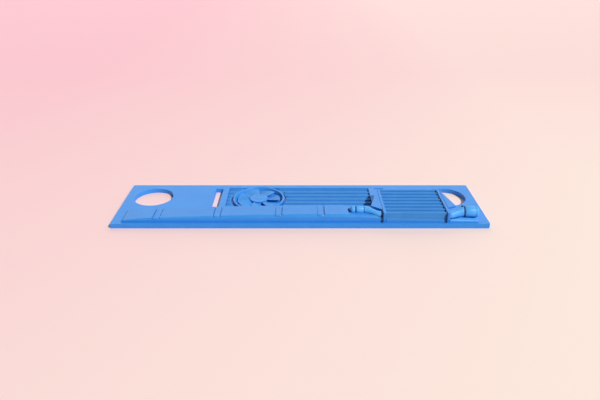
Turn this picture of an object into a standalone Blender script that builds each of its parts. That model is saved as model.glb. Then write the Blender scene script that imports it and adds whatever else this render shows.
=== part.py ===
"""Slide-format flow counting chamber.

A thin slide plate carries everything. A long crowned rail runs along its front edge, held down by four
straps. Behind the rail is a finned flow channel with a small fan in a ring, and at the channel's right end
stands a ribbed cartridge with an inlet tube on its left and an outlet fitting on its right.

Metres, +Z up. The origin is the middle of the plate's underside, X runs along the slide and -Y is its front.
"""
import math

import bmesh
import bpy
import numpy as np
from mathutils import Matrix, Vector

MM = 0.001

# Slide plate
PLATE_LENGTH = 76.0 * MM
PLATE_DEPTH = 18.3 * MM
PLATE_THICK = 1.0 * MM
FRONT_CORNER = 0.08 * MM
BACK_CORNER = 0.08 * MM
FRONT_EDGE = -PLATE_DEPTH / 2
HOLE_RADIUS = 4.17 * MM
HOLE_X = 32.0 * MM
HOLE_Y = 3.1 * MM
SLOT_X = (-18.90 * MM, -17.25 * MM)
SLOT_Y = (-3.0 * MM, 7.30 * MM)
VENT_X = (16.75 * MM, 18.75 * MM)
VENT_Y = (7.10 * MM, 7.50 * MM)
VENT_FLOOR = 0.30 * MM

# Flow channel, a blind pocket in the plate
CHANNEL_X = (-15.90 * MM, 15.45 * MM)
CHANNEL_Y = (-3.70 * MM, 7.72 * MM)
CHANNEL_FLOOR = 0.30 * MM
FIT_GAP = 0.05 * MM
TRAY_TOP = 0.60 * MM
FIN_TOP = 0.88 * MM
FIN_THICK = 0.42 * MM
FIN_PITCH = 1.74 * MM

# Fan
FAN_X = -9.0 * MM
FAN_Y = 2.70 * MM
FAN_FLOOR = 0.10 * MM
RING_RADIUS = 5.60 * MM
RING_RIM = 0.42 * MM
RING_THROAT = 4.85 * MM
RING_TRENCH = 0.40 * MM
WELL_RADIUS = 6.30 * MM
BLADES = 7
BLADE_PHASE = math.radians(-20)
BLADE_SWEEP = math.radians(11)
BLADE_REACH = 4.62 * MM
BLADE_HIGH = 0.86 * MM
BLADE_LOW = 0.28 * MM
BLADE_DROP_POWER = 1.7
BLADE_NOSE = 0.20 * MM
BLADE_TAIL = 0.07 * MM
BLADE_GAP = 0.24 * MM
BLADE_ROOT = 0.25 * MM
BLADE_STEPS = 6
BLADE_STATIONS = 5
HUB_RADIUS = 1.86 * MM
HUB_BOTTOM = 0.30 * MM
HUB_TOP = 0.84 * MM
WASHER_LIP = 0.20 * MM
CAP_RADIUS = 1.96 * MM
CAP_TOP = 0.98 * MM
SPINDLE_RADIUS = 0.35 * MM
BUSH_RADIUS = 0.70 * MM
RUNNING_GAP = 0.06 * MM
STACK_GAP = 0.02 * MM
EDGE_EASE = 0.05 * MM

# Front rail
RAIL_Y = (FRONT_EDGE + 0.72 * MM, -3.98 * MM)
RAIL_X = (-35.90 * MM, 35.80 * MM)
RAIL_PEAK = 1.63 * MM
RAIL_TIP = 0.28 * MM
RAIL_PEAK_X = (0.0, 9.0 * MM)
RAIL_SEAT = PLATE_THICK + FIT_GAP
CHAMFER_SHARE = 0.26
RAIL_TAIL_TIP = 0.30 * MM
RAIL_RISE_POWER = 0.45
RAIL_FALL_POWER = 1.15
RAIL_EASE = 0.08 * MM
# Each strap's sides, and its gaps to the groove on the left and the right
STRAPS = (((-29.47 * MM, -28.22 * MM), (0.20 * MM, 0.13 * MM)),
          ((-17.30 * MM, -16.08 * MM), (0.13 * MM, 0.15 * MM)),
          ((-4.86 * MM, -3.74 * MM), (0.08 * MM, 0.20 * MM)),
          ((3.58 * MM, 4.72 * MM), (0.06 * MM, 0.27 * MM)))
STRAP_DROP = 0.05 * MM
STRAP_THICK = 0.22 * MM
STRAP_SEAT = 0.02 * MM
JOINT_GAP = 0.10 * MM

# Ribbed cartridge
CORE_X = (17.30 * MM, 29.24 * MM)
LIP_THICK = 0.10 * MM
LIP_DROP = 0.02 * MM
CASE_STATIONS = 9
CORE_Y = (RAIL_Y[0] + LIP_THICK, 2.46 * MM)
CORE_STEP = PLATE_THICK + 1.76 * MM
CORE_TOP = PLATE_THICK + 2.05 * MM
RIB_PITCH = 1.49 * MM
RIB_THICK = 0.40 * MM
RIB_COUNT = 8
WALL_THICK = 0.55 * MM
GASKET_THICK = 0.15 * MM
GASKET_PROUD = 0.30 * MM
HOOD_THICK = 0.45 * MM
HOOD_BACK = (1.90 * MM, 1.60 * MM)
HOOD_CORNER_Y = -5.10 * MM
# Each hood's width at its back and at its corner, and where its front ends
LEFT_HOOD = (0.12 * MM, 1.95 * MM, -6.75 * MM)
RIGHT_HOOD = (0.20 * MM, 1.80 * MM, -5.85 * MM)
HOOD_LEG_FRONT = -2.60 * MM
HOOD_LEG_SPREAD = 0.85 * MM

# Inlet tube, lying in a groove along the rail
INLET_Y = -6.41 * MM
INLET_Z = PLATE_THICK + 1.86 * MM
INLET_RADIUS = 0.775 * MM
INLET_X = (10.05 * MM, 11.20 * MM, 12.95 * MM, 16.25 * MM)
INLET_SHIFT = (0.0, 1.15 * MM, 0.52 * MM)
INLET_TAPER = 0.10 * MM
INLET_NOSE = 0.60 * MM
NOSE_STEPS = 8
NOSE_FIRST = 0.35
BEND_STATIONS = 10
# The inlet collar's ends about its place, how far it is sunk, and the tube's eased mouth: (x, depth)
INLET_COLLAR_X = (-0.05 * MM, 0.12 * MM)
INLET_COLLAR_SUNK = 0.10 * MM
INLET_MOUTH = ((0.17 * MM, 0.04 * MM), (0.25 * MM, 0.0))
GROOVE_LEAD = 0.30 * MM
GROOVE_RUN_OUT = 1.0 * MM

# Outlet fitting
OUTLET_Y = -6.10 * MM
OUTLET_Z = PLATE_THICK + 1.23 * MM
OUTLET_RADIUS = 1.16 * MM
NECK_SHIFT = (0.0, 1.10 * MM, 0.32 * MM)
OUTLET_X = (33.20 * MM, 33.45 * MM, 36.30 * MM)
# The neck's radius along its length, both as shares
NECK_SHAPE = ((0.0, 0.66), (0.14, 0.74), (0.28, 0.72), (0.45, 0.74), (0.65, 0.84), (0.85, 0.96), (1.0, 0.99))
GROOVE_STATION = 3
COLLAR_SUNK = 0.02 * MM
FITTING_ROUND = 40
CAP_DOME = 0.60 * MM
DOME_STEPS = 7
DOME_FIRST = 0.6
CAP_FLAT = 0.35
# The cap's shallow groove, as distances back from its end and depths
CAP_GROOVE = ((0.85 * MM, 0.0), (0.75 * MM, 0.06 * MM), (0.65 * MM, 0.0))
SCREW_RADIUS = 0.22 * MM
SCREW_Z = (0.03 * MM, 0.22 * MM)
SCREW_BACK = 0.45 * MM
SCREW_EDGE = 0.03 * MM
SCREW_ROUND = 24

ROUND = 64
SHARP_ANGLE = math.radians(30)


def clear_scene():
    for obj in list(bpy.data.objects):
        bpy.data.objects.remove(obj, do_unlink=True)


def plastic(name, colour, roughness):
    material = bpy.data.materials.new(name)
    material.use_nodes = True
    shader = material.node_tree.nodes["Principled BSDF"]
    shader.inputs["Base Color"].default_value = (*colour, 1.0)
    shader.inputs["Roughness"].default_value = roughness
    shader.inputs["Metallic"].default_value = 0.0
    return material


def new_object(name, mesh_builder, material, location=(0.0, 0.0, 0.0)):
    """Makes an object from a bmesh that the builder function fills."""
    bm = bmesh.new()
    mesh_builder(bm)
    bmesh.ops.recalc_face_normals(bm, faces=bm.faces)
    mesh = bpy.data.meshes.new(name)
    bm.to_mesh(mesh)
    bm.free()
    mesh.shade_smooth()
    mesh.set_sharp_from_angle(angle=SHARP_ANGLE)
    obj = bpy.data.objects.new(name, mesh)
    obj.location = location
    if material:
        mesh.materials.append(material)
    bpy.context.scene.collection.objects.link(obj)
    return obj


def guide(name, mesh_builder, location=(0.0, 0.0, 0.0)):
    """A shape that only cuts or joins: it isn't a piece."""
    obj = new_object(name, mesh_builder, None, location)
    obj.hide_render = True
    obj.display_type = "WIRE"
    return obj


def combine(obj, tool, operation):
    boolean = obj.modifiers.new(tool.name, "BOOLEAN")
    boolean.operation = operation
    boolean.solver = "EXACT"
    boolean.object = tool


def extrude_outline(bm, points, direction):
    """Closes an outline of 3-D points into a face and extrudes it into a prism."""
    face = bm.faces.new([bm.verts.new(point) for point in points])
    extruded = bmesh.ops.extrude_face_region(bm, geom=[face])
    moved = [item for item in extruded["geom"] if isinstance(item, bmesh.types.BMVert)]
    bmesh.ops.translate(bm, verts=moved, vec=direction)


def block(x, y, z):
    """A box between three pairs of limits."""
    def build(bm):
        outline = [(x[0], y[0], z[0]), (x[1], y[0], z[0]), (x[1], y[1], z[0]), (x[0], y[1], z[0])]
        extrude_outline(bm, outline, Vector((0, 0, z[1] - z[0])))
    return build


def prism(outline, z):
    """A flat outline raised from z[0] to z[1]."""
    def build(bm):
        extrude_outline(bm, [(x, y, z[0]) for x, y in outline], Vector((0, 0, z[1] - z[0])))
    return build


def cylinder(radius, z, segments=ROUND):
    """A disc about the object's own Z axis."""
    def build(bm):
        spread = Matrix.Translation((0, 0, (z[0] + z[1]) / 2))
        bmesh.ops.create_cone(bm, cap_ends=True, segments=segments, radius1=radius, radius2=radius,
                              depth=z[1] - z[0], matrix=spread)
    return build


def ring_solid(profile, segments=ROUND):
    """A closed section of (radius, height) points, turned about the object's own Z axis."""
    def build(bm):
        rings = []
        for step in range(segments):
            turn = 2 * math.pi * step / segments
            rings.append([bm.verts.new((r * math.cos(turn), r * math.sin(turn), z)) for r, z in profile])
        join_rings(bm, rings, closed_section=True, closed_run=True)
    return build


def join_rings(bm, rings, closed_section, closed_run):
    """Skins a run of equal point rings with quads."""
    runs = len(rings) if closed_run else len(rings) - 1
    for run in range(runs):
        here, there = rings[run], rings[(run + 1) % len(rings)]
        spans = len(here) if closed_section else len(here) - 1
        for side in range(spans):
            after = (side + 1) % len(here)
            bm.faces.new((here[side], here[after], there[after], there[side]))


def loft(sections):
    """A solid through equal sections of 3-D points, capped at both ends."""
    def build(bm):
        rings = [[bm.verts.new(point) for point in section] for section in sections]
        join_rings(bm, rings, closed_section=True, closed_run=False)
        bm.faces.new(rings[0])
        bm.faces.new(rings[-1])
    return build


def tube_sections(centres, radii, segments=32):
    """Circles along a path in the XY plane, each square to X, for a tube that mostly follows X."""
    sections = []
    for centre, radius in zip(centres, radii):
        turns = [2 * math.pi * step / segments for step in range(segments)]
        sections.append([centre + Vector((0, radius * math.cos(t), radius * math.sin(t))) for t in turns])
    return sections


def turned_along_x(profile, segments=32):
    """A solid of revolution about the X axis from (x, radius) points, whose ends are closed with discs."""
    return loft(tube_sections([Vector((x, 0, 0)) for x, _ in profile], [r for _, r in profile], segments))


def make_plate(material):
    half_x, half_y = PLATE_LENGTH / 2, PLATE_DEPTH / 2
    front, back = FRONT_CORNER, BACK_CORNER
    outline = [(-half_x + front, -half_y), (half_x - front, -half_y), (half_x, -half_y + front),
               (half_x, half_y - back), (half_x - back, half_y), (-half_x + back, half_y),
               (-half_x, half_y - back), (-half_x, -half_y + front)]
    plate = new_object("base_plate", prism(outline, (0.0, PLATE_THICK)), material)
    through = (-PLATE_THICK, 2 * PLATE_THICK)
    for side, x in (("left", -HOLE_X), ("right", HOLE_X)):
        hole = guide(f"{side}_hole_cut", cylinder(HOLE_RADIUS, through), (x, HOLE_Y, 0))
        combine(plate, hole, "DIFFERENCE")
    combine(plate, guide("slot_cut", block(SLOT_X, SLOT_Y, through)), "DIFFERENCE")
    vent_z = (VENT_FLOOR, 2 * PLATE_THICK)
    combine(plate, guide("vent_cut", block(VENT_X, VENT_Y, vent_z)), "DIFFERENCE")
    pocket = (CHANNEL_FLOOR, 2 * PLATE_THICK)
    combine(plate, guide("channel_cut", block(CHANNEL_X, CHANNEL_Y, pocket)), "DIFFERENCE")
    seat_shape = cylinder(RING_RADIUS + FIT_GAP, (FAN_FLOOR, 2 * PLATE_THICK))
    fan_seat = guide("fan_seat_cut", seat_shape, (FAN_X, FAN_Y, 0))
    combine(plate, fan_seat, "DIFFERENCE")


def make_fin_tray(material):
    """A thin sheet with upright fins along X, cleared round the fan ring and cut through close to it."""
    x = (CHANNEL_X[0] + FIT_GAP, CHANNEL_X[1] - FIT_GAP)
    y = (CHANNEL_Y[0] + FIT_GAP, CHANNEL_Y[1] - FIT_GAP)
    bottom = CHANNEL_FLOOR + FIT_GAP
    fins = int((y[1] - y[0] - FIN_THICK) / FIN_PITCH) + 1
    outline = [(y[0], TRAY_TOP), (y[0], bottom), (y[1], bottom)]
    for index in range(fins):
        back = y[1] - index * FIN_PITCH
        foot = [(back, TRAY_TOP)] if index else []
        outline += foot + [(back, FIN_TOP), (back - FIN_THICK, FIN_TOP), (back - FIN_THICK, TRAY_TOP)]

    def build(bm):
        extrude_outline(bm, [(x[0], v, w) for v, w in outline], Vector((x[1] - x[0], 0, 0)))
    tray = new_object("fin_tray", build, material)
    well = guide("fan_well_cut", cylinder(WELL_RADIUS, (TRAY_TOP, 2 * PLATE_THICK)), (FAN_X, FAN_Y, 0))
    combine(tray, well, "DIFFERENCE")
    seat_shape = cylinder(RING_RADIUS + RING_TRENCH, (-PLATE_THICK, PLATE_THICK))
    seat = guide("ring_seat_cut", seat_shape, (FAN_X, FAN_Y, 0))
    combine(tray, seat, "DIFFERENCE")


def fan_anchor():
    anchor = bpy.data.objects.new("fan_axis", None)
    anchor.location = (FAN_X, FAN_Y, 0)
    bpy.context.scene.collection.objects.link(anchor)
    return anchor


def make_ring(anchor, material):
    """The fan's ring: an upright outside and a throat that widens upward to a thin rim."""
    bottom, top = FAN_FLOOR + FIT_GAP, PLATE_THICK
    profile = [(RING_RADIUS, bottom), (RING_RADIUS, top - EDGE_EASE), (RING_RADIUS - EDGE_EASE, top),
               (RING_RADIUS - RING_RIM, top), (RING_THROAT, bottom)]
    ring = new_object("fan_ring", ring_solid(profile), material)
    ring.parent = anchor


def blade_section(reach, turn):
    """A blade's section at one radius: a high rounded nose, a back that falls away and a thin low tail."""
    sweep = BLADE_SWEEP * (reach - HUB_RADIUS) / (BLADE_REACH - HUB_RADIUS)
    start = turn + sweep + BLADE_GAP / 2 / reach
    span = 2 * math.pi / BLADES - BLADE_GAP / reach
    upper, lower = [], []
    for step in range(BLADE_STEPS + 1):
        share = step / BLADE_STEPS
        height = BLADE_HIGH - (BLADE_HIGH - BLADE_LOW) * share ** BLADE_DROP_POWER
        thick = BLADE_NOSE + (BLADE_TAIL - BLADE_NOSE) * share
        if step == 0:
            height, thick = height - BLADE_NOSE / 3, BLADE_NOSE / 3
        angle = start + span * share
        for row, z in ((upper, height), (lower, height - thick)):
            row.append(Vector((reach * math.cos(angle), reach * math.sin(angle), z)))
    return upper + lower[::-1]


def blade_solid(turn):
    """One swept blade, from inside the hub out to its tip."""
    inner = HUB_RADIUS - BLADE_ROOT
    reaches = [inner + (BLADE_REACH - inner) * step / BLADE_STATIONS for step in range(BLADE_STATIONS + 1)]
    return loft([blade_section(reach, turn) for reach in reaches])


def make_impeller(anchor, material):
    bore = BUSH_RADIUS + FIT_GAP
    profile = [(bore, HUB_BOTTOM), (HUB_RADIUS, HUB_BOTTOM), (HUB_RADIUS, HUB_TOP), (bore, HUB_TOP)]
    impeller = new_object("impeller", ring_solid(profile), material)
    impeller.parent = anchor
    for index in range(BLADES):
        blade = guide(f"blade_{index + 1}", blade_solid(BLADE_PHASE + index * 2 * math.pi / BLADES))
        blade.parent = anchor
        combine(impeller, blade, "UNION")


def make_fan_centre(anchor, cap_material, metal):
    bevel = EDGE_EASE
    bottom = HUB_TOP + STACK_GAP
    cap_profile = [(0.0, bottom), (CAP_RADIUS, bottom), (CAP_RADIUS, CAP_TOP - bevel),
                   (CAP_RADIUS - bevel, CAP_TOP), (0.0, CAP_TOP)]
    cap = new_object("hub_cap", turned_solid(cap_profile), cap_material)
    inner = SPINDLE_RADIUS + RUNNING_GAP
    bush_profile = [(inner, HUB_BOTTOM), (BUSH_RADIUS, HUB_BOTTOM), (BUSH_RADIUS, HUB_TOP), (inner, HUB_TOP)]
    bush = new_object("hub_bush", ring_solid(bush_profile, 40), metal)
    washer_z = (FAN_FLOOR + STACK_GAP, HUB_BOTTOM - STACK_GAP)
    washer_radius = BUSH_RADIUS + WASHER_LIP
    washer_profile = [(inner, washer_z[0]), (washer_radius, washer_z[0]),
                      (washer_radius, washer_z[1]), (inner, washer_z[1])]
    washer = new_object("thrust_washer", ring_solid(washer_profile, 40), metal)
    spindle_z = (FAN_FLOOR + STACK_GAP, HUB_TOP - STACK_GAP)
    spindle = new_object("fan_spindle", cylinder(SPINDLE_RADIUS, spindle_z, 32), metal)
    for piece in (cap, bush, washer, spindle):
        piece.parent = anchor


def turned_solid(profile, segments=ROUND):
    """A section whose first and last points lie on the axis, turned about the object's own Z axis."""
    def build(bm):
        low = bm.verts.new((0, 0, profile[0][1]))
        high = bm.verts.new((0, 0, profile[-1][1]))
        rings = []
        for step in range(segments):
            turn = 2 * math.pi * step / segments
            middle = profile[1:-1]
            rings.append([bm.verts.new((r * math.cos(turn), r * math.sin(turn), z)) for r, z in middle])
        join_rings(bm, rings, closed_section=False, closed_run=True)
        for step in range(segments):
            here, there = rings[step], rings[(step + 1) % segments]
            bm.faces.new((low, here[0], there[0]))
            bm.faces.new((high, there[-1], here[-1]))
    return build


def crown(x):
    """The rail's height over the plate: a steep start, a long rise, a flat top and a fall to the right."""
    if x < RAIL_PEAK_X[0]:
        share = (x - RAIL_X[0]) / (RAIL_PEAK_X[0] - RAIL_X[0])
        return RAIL_TIP + (RAIL_PEAK - RAIL_TIP) * max(share, 0.0) ** RAIL_RISE_POWER
    share = max(x - RAIL_PEAK_X[1], 0.0) / (RAIL_X[1] - RAIL_PEAK_X[1])
    return RAIL_PEAK - (RAIL_PEAK - RAIL_TAIL_TIP) * share ** RAIL_FALL_POWER


def rail_outline(x, back_edge=RAIL_Y[1]):
    """The rail's section at x: flat back and foot, and a chamfered front edge under the crown curve."""
    height = crown(x)
    top = PLATE_THICK + height
    chamfer = CHAMFER_SHARE * height
    front = RAIL_Y[0]
    outline = [(front, RAIL_SEAT), (front, top - chamfer), (front + chamfer, top),
               (back_edge - RAIL_EASE, top), (back_edge, top - RAIL_EASE), (back_edge, RAIL_SEAT)]
    return [Vector((x, y, z)) for y, z in outline]


def band_outline(x, drop, bottom, reach):
    """A flat band under the rail's top, from drop down to bottom, whose front lies on the rail's chamfer."""
    top = PLATE_THICK + crown(x)
    slope = RAIL_Y[0] + CHAMFER_SHARE * crown(x)
    outline = [(slope - drop - reach, top - drop), (RAIL_Y[1] + reach, top - drop),
               (RAIL_Y[1] + reach, top - bottom), (slope - bottom - reach, top - bottom)]
    return [Vector((x, y, z)) for y, z in outline]


def stations(limits, count):
    return [float(x) for x in np.linspace(limits[0], limits[1], count)]


def make_rail(rail_material, strap_material):
    """One long rail with a groove for each strap, and the short tail past the cartridge."""
    left_of_core = CORE_X[0] - WALL_THICK - GASKET_THICK - 3 * FIT_GAP
    right_of_core = CORE_X[1] + WALL_THICK + GASKET_THICK + 3 * FIT_GAP
    rail_stations = stations((RAIL_X[0], left_of_core), 41)
    rail = new_object("front_rail", loft([rail_outline(x) for x in rail_stations]), rail_material)
    for number, (limits, gaps) in enumerate(STRAPS, start=1):
        depth = STRAP_DROP + STRAP_THICK
        wide = (limits[0] - gaps[0], limits[1] + gaps[1])
        groove = [band_outline(x, -MM, depth + STRAP_SEAT, MM) for x in wide]
        combine(rail, guide(f"strap_groove_cut_{number}", loft(groove)), "DIFFERENCE")
        band = [band_outline(x, STRAP_DROP, depth, 0.0) for x in limits]
        new_object(f"rail_strap_{number}", loft(band), strap_material)
    tail_stations = stations((right_of_core, RAIL_X[1]), 7)
    tail_back = OUTLET_Y - NECK_SHIFT[1]
    tail = new_object("rail_tail", loft([rail_outline(x, tail_back) for x in tail_stations]), rail_material)
    return rail, tail


def case_outline(x):
    """The case's section at x: a lip in line with the rail stands in front of its plain body."""
    lip_top = min(PLATE_THICK + (1 - CHAMFER_SHARE) * crown(x), CORE_STEP - LIP_DROP)
    outline = [(RAIL_Y[0], RAIL_SEAT), (RAIL_Y[0], lip_top - EDGE_EASE), (RAIL_Y[0] + EDGE_EASE, lip_top),
               (CORE_Y[0], lip_top), (CORE_Y[0], CORE_STEP), (CORE_Y[1], CORE_STEP), (CORE_Y[1], RAIL_SEAT)]
    return [Vector((x, y, z)) for y, z in outline]


def make_cartridge(rib_material, wall_material, gasket_material):
    """A plain lower case with upright ribs on it, between two gasketed end walls."""
    case_sections = [case_outline(x) for x in stations(CORE_X, CASE_STATIONS)]
    new_object("cartridge_case", loft(case_sections), rib_material)
    rib_z = (CORE_STEP + FIT_GAP, CORE_TOP)
    for index in range(RIB_COUNT):
        front = CORE_Y[0] + FIT_GAP + index * RIB_PITCH
        y = (front, front + RIB_THICK)
        rib = new_object(f"cartridge_rib_{index + 1}", block(CORE_X, y, rib_z), rib_material)
        round_edges(rib, EDGE_EASE)
    gasket_y = (RAIL_Y[0] - GASKET_PROUD, CORE_Y[1])
    gasket_z = (RAIL_SEAT, CORE_TOP - EDGE_EASE)
    for side, face, outward, layers in (("left", CORE_X[0], -1, ("end_wall", "gasket")),
                                        ("right", CORE_X[1], 1, ("gasket", "end_wall"))):
        inner = face
        for layer in layers:
            inner += outward * FIT_GAP
            if layer == "gasket":
                x = sorted((inner, inner + outward * GASKET_THICK))
                shape = block if side == "right" else stepped_gasket
                new_object(f"{side}_gasket", shape(x, gasket_y, gasket_z), gasket_material)
                inner += outward * GASKET_THICK
            else:
                x = sorted((inner, inner + outward * WALL_THICK))
                shape = block(x, (RAIL_Y[0], CORE_Y[1]), (RAIL_SEAT, CORE_TOP))
                wall = new_object(f"{side}_end_wall", shape, wall_material)
                round_edges(wall, EDGE_EASE)
                inner += outward * WALL_THICK


def stepped_gasket(x, y, z):
    """The left gasket: full height in front of the hood and lower beneath it."""
    front, low = LEFT_HOOD[2] - FIT_GAP, CORE_TOP - HOOD_THICK - FIT_GAP
    outline = [(y[0], z[0]), (y[1], z[0]), (y[1], low), (front, low), (front, z[1]), (y[0], z[1])]

    def build(bm):
        extrude_outline(bm, [(x[0], v, w) for v, w in outline], Vector((x[1] - x[0], 0, 0)))
    return build


def round_edges(obj, width):
    bevel = obj.modifiers.new("edge", "BEVEL")
    bevel.width = width
    bevel.segments = 1
    bevel.limit_method = "ANGLE"


def make_hoods(material):
    """A three-cornered hood on each side of the cartridge, level with its top, with a leg at its back."""
    face = WALL_THICK + GASKET_THICK + 3 * FIT_GAP
    z = (CORE_TOP - HOOD_THICK, CORE_TOP)
    leg_z = (PLATE_THICK + FIT_GAP, CORE_TOP)
    back, shoulder = HOOD_BACK
    for side, edge, outward, cover, (narrow, wide, front) in (
            ("left", CORE_X[0], -1, GASKET_THICK + FIT_GAP, LEFT_HOOD),
            ("right", CORE_X[1], 1, 0.0, RIGHT_HOOD)):
        inner = edge + outward * face
        root = inner - outward * cover
        outline = [(root, back), (inner + outward * narrow, shoulder),
                   (inner + outward * wide, HOOD_CORNER_Y), (root, front)]
        hood = new_object(f"{side}_hood", prism(outline, z), material)
        leg = [(inner, back - cover), (inner + outward * narrow, shoulder - cover),
               (inner + outward * (narrow + HOOD_LEG_SPREAD), HOOD_LEG_FRONT), (inner, HOOD_LEG_FRONT)]
        combine(hood, guide(f"{side}_hood_leg", prism(leg, leg_z)), "UNION")


def make_inlet(rail, material, collar_material):
    """A tube in a groove along the rail: turning plug, collar, straight run and bent end."""
    start, collar, bend, finish = INLET_X
    place = (0, INLET_Y, INLET_Z)
    profile = []
    for step in range(NOSE_STEPS):
        share = (step + NOSE_FIRST) / NOSE_STEPS
        profile.append((start + INLET_NOSE * (1 - math.cos(share * math.pi / 2)),
                        INLET_RADIUS * math.sin(share * math.pi / 2)))
    profile += [(start + INLET_NOSE, INLET_RADIUS), (collar - JOINT_GAP, INLET_RADIUS)]
    new_object("inlet_plug", turned_along_x(profile), material, place)
    ring = [(collar + side, INLET_RADIUS - INLET_COLLAR_SUNK) for side in INLET_COLLAR_X]
    new_object("inlet_collar", turned_along_x(ring), collar_material, place)
    tube = [(collar + along, INLET_RADIUS - depth) for along, depth in INLET_MOUTH]
    tube.append((bend - JOINT_GAP, INLET_RADIUS))
    new_object("inlet_tube", turned_along_x(tube), material, place)
    centres, radii = [], []
    for step in range(BEND_STATIONS + 1):
        share = step / BEND_STATIONS
        ease = share * share * (3 - 2 * share)
        centre = Vector((bend + (finish - bend) * share, INLET_Y, INLET_Z))
        centres.append(centre - Vector(INLET_SHIFT) * ease)
        radii.append(INLET_RADIUS - INLET_TAPER * ease)
    new_object("inlet_bend", loft(tube_sections(centres, radii)), material)
    groove_centres = [Vector((start - GROOVE_LEAD, INLET_Y, INLET_Z))] + centres
    groove_centres.append(centres[-1] + Vector((GROOVE_RUN_OUT, 0, 0)))
    groove_radii = [INLET_RADIUS + FIT_GAP] * len(groove_centres)
    combine(rail, guide("inlet_groove_cut", loft(tube_sections(groove_centres, groove_radii))), "DIFFERENCE")


def make_outlet(tail, material, collar_material):
    """A swelling neck out of the cartridge's right wall, a collar, a bleed screw and a turning end cap."""
    collar, cap, finish = OUTLET_X
    start = CORE_X[1] + WALL_THICK + GASKET_THICK + 3 * FIT_GAP
    centres, radii = [], []
    for share, swell in NECK_SHAPE:
        x = start + (collar - JOINT_GAP - start) * share
        ease = share * share * (3 - 2 * share)
        centres.append(Vector((x, OUTLET_Y, OUTLET_Z)) - Vector(NECK_SHIFT) * (1 - ease))
        radii.append(OUTLET_RADIUS * swell)
    new_object("outlet_neck", loft(tube_sections(centres, radii, FITTING_ROUND)), material)
    place = (0, OUTLET_Y, OUTLET_Z)
    ring = [(x, OUTLET_RADIUS - COLLAR_SUNK) for x in (collar, cap - FIT_GAP)]
    new_object("outlet_collar", turned_along_x(ring, FITTING_ROUND), collar_material, place)
    body = [(cap, OUTLET_RADIUS - EDGE_EASE), (cap + EDGE_EASE, OUTLET_RADIUS)]
    body += [(finish - back, OUTLET_RADIUS - depth) for back, depth in CAP_GROOVE]
    for step in range(DOME_STEPS):
        turn = (step + DOME_FIRST) / DOME_STEPS * math.pi / 2
        radius = OUTLET_RADIUS * (CAP_FLAT + (1 - CAP_FLAT) * math.cos(turn))
        body.append((finish - CAP_DOME * (1 - math.sin(turn)), radius))
    new_object("outlet_cap", turned_along_x(body, FITTING_ROUND), material, place)
    screw_z = [OUTLET_RADIUS + height for height in SCREW_Z]
    screw_x = (collar + cap - FIT_GAP) / 2 - SCREW_BACK
    shape = cylinder(SCREW_RADIUS, screw_z, SCREW_ROUND)
    screw = new_object("bleed_screw", shape, collar_material, (screw_x, *place[1:]))
    round_edges(screw, SCREW_EDGE)
    groove_centres = [centres[0] - Vector((GROOVE_RUN_OUT, 0, 0)), centres[0], centres[GROOVE_STATION],
                      Vector((collar, *place[1:])), Vector((RAIL_X[1] + 2 * GROOVE_RUN_OUT, *place[1:]))]
    groove_radii = [OUTLET_RADIUS + 2 * FIT_GAP] * len(groove_centres)
    groove = guide("outlet_groove_cut", loft(tube_sections(groove_centres, groove_radii, FITTING_ROUND)))
    combine(tail, groove, "DIFFERENCE")


def settle_shapes():
    """Turns each piece's modifiers into its mesh, marks its sharp edges and removes the cutters."""
    depsgraph = bpy.context.evaluated_depsgraph_get()
    for obj in list(bpy.context.scene.objects):
        if obj.type != "MESH" or obj.hide_render or not obj.modifiers:
            continue
        mesh = bpy.data.meshes.new_from_object(obj.evaluated_get(depsgraph))
        obj.modifiers.clear()
        obj.data = mesh
        mesh.shade_smooth()
        mesh.set_sharp_from_angle(angle=SHARP_ANGLE)
    for obj in list(bpy.context.scene.objects):
        if obj.hide_render:
            bpy.data.objects.remove(obj, do_unlink=True)
    bpy.context.view_layer.update()


def main():
    clear_scene()
    plate_blue = plastic("plate_blue", (0.13, 0.35, 0.80), 0.42)
    rail_blue = plastic("rail_blue", (0.13, 0.35, 0.80), 0.38)
    rib_blue = plastic("rib_blue", (0.11, 0.31, 0.74), 0.48)
    fitting_blue = plastic("fitting_blue", (0.12, 0.36, 0.84), 0.30)
    gasket_blue = plastic("gasket_blue", (0.03, 0.09, 0.24), 0.70)
    steel = plastic("spindle_steel", (0.55, 0.56, 0.58), 0.30)
    steel.node_tree.nodes["Principled BSDF"].inputs["Metallic"].default_value = 1.0

    make_plate(plate_blue)
    make_fin_tray(rib_blue)
    anchor = fan_anchor()
    make_ring(anchor, rail_blue)
    make_impeller(anchor, fitting_blue)
    make_fan_centre(anchor, fitting_blue, steel)
    long_section, tail = make_rail(rail_blue, rib_blue)
    make_cartridge(rib_blue, rail_blue, gasket_blue)
    make_hoods(plate_blue)
    make_inlet(long_section, fitting_blue, gasket_blue)
    make_outlet(tail, fitting_blue, gasket_blue)
    settle_shapes()


main()
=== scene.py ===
"""Looks of the slide-format flow counting chamber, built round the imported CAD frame.

Every moulded piece is rebuilt with rounded edges and finer curves, in millimetres turned to metres, and
carries a procedural material. The metal bearing parts inside the fan keep their CAD shapes.
"""
import math

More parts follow.
